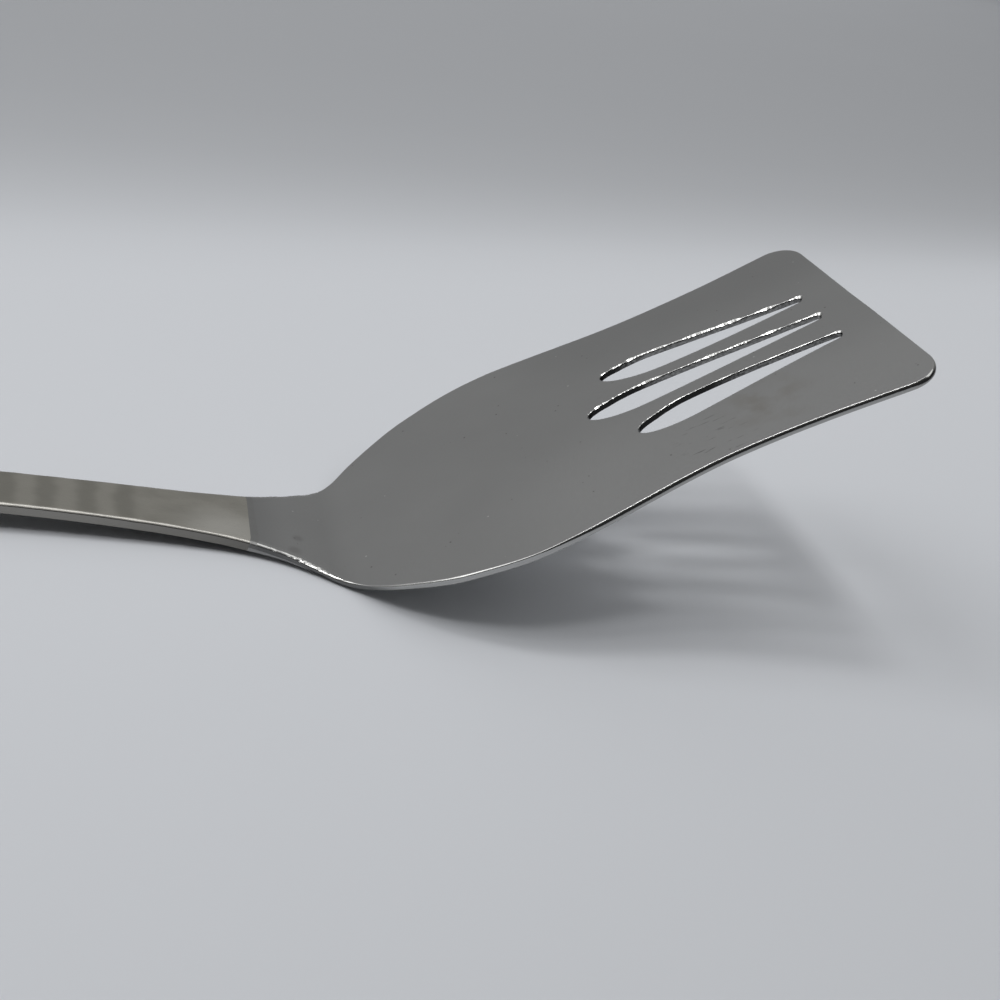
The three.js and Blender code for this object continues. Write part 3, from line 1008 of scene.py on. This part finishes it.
def make_seam_weld(material):
    """The flush bead between the handle and the blade: a short length of their shared section."""
    s = np.linspace(*SEAM_WELD, SEAM_ROWS)
    line = np.stack([s, -half_width(s)], axis=1)
    mirror = np.array([1.0, -1.0, 1.0])
    profile = HANDLE_PROFILE._replace(lower=LEAST_BEVEL)
    right = Rim(line, BLADE_THICKNESS, profile, dark=SEAM_DARK, proud=edge_proud(line))
    left = Rim(line, BLADE_THICKNESS, profile, dark=SEAM_DARK, proud=edge_proud(line * mirror[:2]))
    sections = np.concatenate([right.rows[:, ::-1], left.rows * mirror], axis=1)
    sections = skewed_sections(sections)
    normals = np.concatenate([right.point_normals()[:, ::-1], left.point_normals() * mirror], axis=1)
    dark = np.concatenate([right.dark[:, ::-1], left.dark], axis=1)
    body = tube(sections)._replace(normals=normals.reshape(-1, 3), dark=dark.reshape(-1))
    return make_piece("seam_bead", body, material, "weld_steel", "seam_weld")


def make_edge_weld(material, name, side, node):
    """The bead under one edge of the tang, flush with it and thinner towards the heel."""
    s = np.linspace(SEAM_WELD[0], BEAD_LENGTH, BEAD_ROWS)
    line = np.stack([s, side * half_width(s)], axis=1)
    outer = half_width(s) + edge_proud(line) + BEAD_RIPPLE * ripple(s, BEAD_RIPPLE_LENGTH, 6.0 + side)
    inner = half_width(s) - TONGUE_INSET - BEAD_SIDE_SINK
    top = np.full_like(s, BLADE_THICKNESS - BEAD_TOP_SINK)
    low = HANDLE_THICKNESS + s / BEAD_LENGTH * (BEAD_END_DEPTH - HANDLE_THICKNESS)
    bend = np.minimum(BEAD_ROUNDING * (low - top), HANDLE_PROFILE.lower)
    arc = np.linspace(0.0, math.pi / 2, BEAD_ARC_POINTS)
    corners = [(inner, top), (outer, top)]
    for turn in arc:
        corners.append((outer - bend * (1 - math.cos(turn)), low - bend * (1 - math.sin(turn))))
    corners.append((inner, low))
    sections = np.stack([np.stack([s, side * y, depth], axis=-1) for y, depth in corners], axis=1)
    sections = skewed_sections(sections)
    turns = np.array([0.0, 0.0, *arc, math.pi / 2])[None, :, None]
    normals = np.cos(turns) * (0.0, side, 0.0) - np.sin(turns) * face_normal(s)[:, None, :]
    if side < 0:
        sections = sections[:, ::-1]
        normals = normals[:, ::-1]
    body = tube(sections)._replace(normals=normals.reshape(-1, 3))
    return make_piece(name, body, material, "weld_steel", node)


# Stage, light and camera

def make_stage():
    """A pale floor whose tone, a painted fall-off of light, fades softly towards the back."""
    mesh = bpy.data.meshes.new("floor")
    corners = [(-FLOOR_REACH, -FLOOR_REACH, 0), (FLOOR_REACH, -FLOOR_REACH, 0)]
    corners += [(FLOOR_REACH, FLOOR_REACH, 0), (-FLOOR_REACH, FLOOR_REACH, 0)]
    mesh.from_pydata(corners, [], [(0, 1, 2, 3)])
    floor = bpy.data.objects.new("floor", mesh)
    bpy.context.scene.collection.objects.link(floor)
    mesh.materials.append(floor_paper())


def floor_paper():
    material = bpy.data.materials.new("floor_paper")
    material.use_nodes = True
    tree = material.node_tree
    surface = tree.nodes["Principled BSDF"]
    surface.inputs["Roughness"].default_value = 0.8
    surface.inputs["Specular IOR Level"].default_value = 0.2
    coordinates = tree.nodes.new("ShaderNodeTexCoord")
    back = tree.nodes.new("ShaderNodeVectorMath")
    back.operation = "DOT_PRODUCT"
    back.inputs[1].default_value = FLOOR_BACK
    tree.links.new(coordinates.outputs["Object"], back.inputs[0])
    share = tree.nodes.new("ShaderNodeMapRange")
    first, last = FLOOR_PAINTED_FALLOFF[0][0], FLOOR_PAINTED_FALLOFF[-1][0]
    share.inputs["From Min"].default_value = first
    share.inputs["From Max"].default_value = last
    tree.links.new(back.outputs["Value"], share.inputs["Value"])
    # painted fall-off of light: the floor's tone changes with distance towards the back
    ramp = tree.nodes.new("ShaderNodeValToRGB")
    tree.links.new(share.outputs["Result"], ramp.inputs["Fac"])
    ramp.color_ramp.interpolation = "B_SPLINE"
    while len(ramp.color_ramp.elements) < len(FLOOR_PAINTED_FALLOFF):
        ramp.color_ramp.elements.new(1.0)
    for stop, (reach, tone) in zip(ramp.color_ramp.elements, FLOOR_PAINTED_FALLOFF):
        stop.position = (reach - first) / (last - first)
        stop.color = (*[tone * channel for channel in FLOOR_COLOUR], 1.0)
    tree.links.new(ramp.outputs["Color"], surface.inputs["Base Color"])
    return material


def add_lamp(name, run_x, run_y, width, length, power):
    """A soft panel over the blade, off its middle by the given runs for each unit of height."""
    light = bpy.data.lights.new(name, "AREA")
    light.shape = "RECTANGLE"
    light.size = width
    light.size_y = length
    light.energy = power
    lamp = bpy.data.objects.new(name, light)
    out = Vector((run_x, run_y, 1.0))
    back = out.normalized()
    side = Vector((0.0, 1.0, 0.0)).cross(back).normalized()
    turned = Matrix((side, back.cross(side), back)).transposed()
    lamp.matrix_world = Matrix.Translation(LAMP_AIM + LAMP_HEIGHT * out) @ turned.to_4x4()
    bpy.context.scene.collection.objects.link(lamp)


def make_lamps():
    add_lamp("overhead_lamp", 0.05, 0.03, 1.56, 0.80, 5.4)
    add_lamp("front_lamp", -0.335, -0.35, 0.58, 0.60, 24.0)
    add_lamp("middle_lamp", -0.32, -0.17, 0.45, 0.28, 5.4)
    add_lamp("back_lamp", -0.27, 0.03, 0.85, 0.48, 16.6)
    add_lamp("left_lamp", -0.98, 0.04, 2.63, 2.72, 71.0)
    add_lamp("right_lamp", 0.66, -0.15, 2.19, 2.88, 26.0)


def make_world():
    """An even grey all round, apart from a dark stretch at the front that the polished rims show."""
    world = bpy.data.worlds.new("studio")
    world.use_nodes = True
    tree = world.node_tree
    background = tree.nodes["Background"]
    coordinates = tree.nodes.new("ShaderNodeTexCoord")
    backwards = tree.nodes.new("ShaderNodeVectorMath")
    backwards.operation = "DOT_PRODUCT"
    backwards.inputs[1].default_value = WORLD_BACK
    tree.links.new(coordinates.outputs["Generated"], backwards.inputs[0])
    level = tree.nodes.new("ShaderNodeMapRange")
    level.interpolation_type = "SMOOTHSTEP"
    level.inputs["From Min"].default_value = WORLD_SPAN[0]
    level.inputs["From Max"].default_value = WORLD_SPAN[1]
    level.inputs["To Min"].default_value = WORLD_STRENGTHS[0]
    level.inputs["To Max"].default_value = WORLD_STRENGTHS[1]
    tree.links.new(backwards.outputs["Value"], level.inputs["Value"])
    tree.links.new(level.outputs["Result"], background.inputs["Strength"])
    background.inputs["Color"].default_value = WORLD_TINT
    bpy.context.scene.world = world


def make_camera():
    forward = Vector((
        math.sin(CAMERA_YAW) * math.cos(CAMERA_PITCH),
        math.cos(CAMERA_YAW) * math.cos(CAMERA_PITCH),
        -math.sin(CAMERA_PITCH),
    ))
    level = Vector((math.cos(CAMERA_YAW), -math.sin(CAMERA_YAW), 0.0))
    upright = level.cross(forward)
    right = math.cos(CAMERA_ROLL) * level + math.sin(CAMERA_ROLL) * upright
    up = math.cos(CAMERA_ROLL) * upright - math.sin(CAMERA_ROLL) * level
    lens = bpy.data.cameras.new("camera")
    lens.lens = CAMERA_FOCAL_LENGTH
    lens.sensor_width = CAMERA_SENSOR
    lens.clip_start = 0.01
    camera = bpy.data.objects.new("camera", lens)
    turned = Matrix((right, up, -forward)).transposed()
    camera.matrix_world = Matrix.Translation(CAMERA_PLACE) @ turned.to_4x4()
    bpy.context.scene.collection.objects.link(camera)
    bpy.context.scene.camera = camera


make_camera()
make_lamps()
make_world()
make_stage()
weld_finish = weld_steel()
make_blade(blade_steel())
make_handle(handle_steel())
make_seam_weld(weld_finish)
make_edge_weld(weld_finish, "left_edge_bead", 1, "left_edge_weld")
make_edge_weld(weld_finish, "right_edge_bead", -1, "right_edge_weld")
bpy.context.scene.view_settings.view_transform = "Standard"
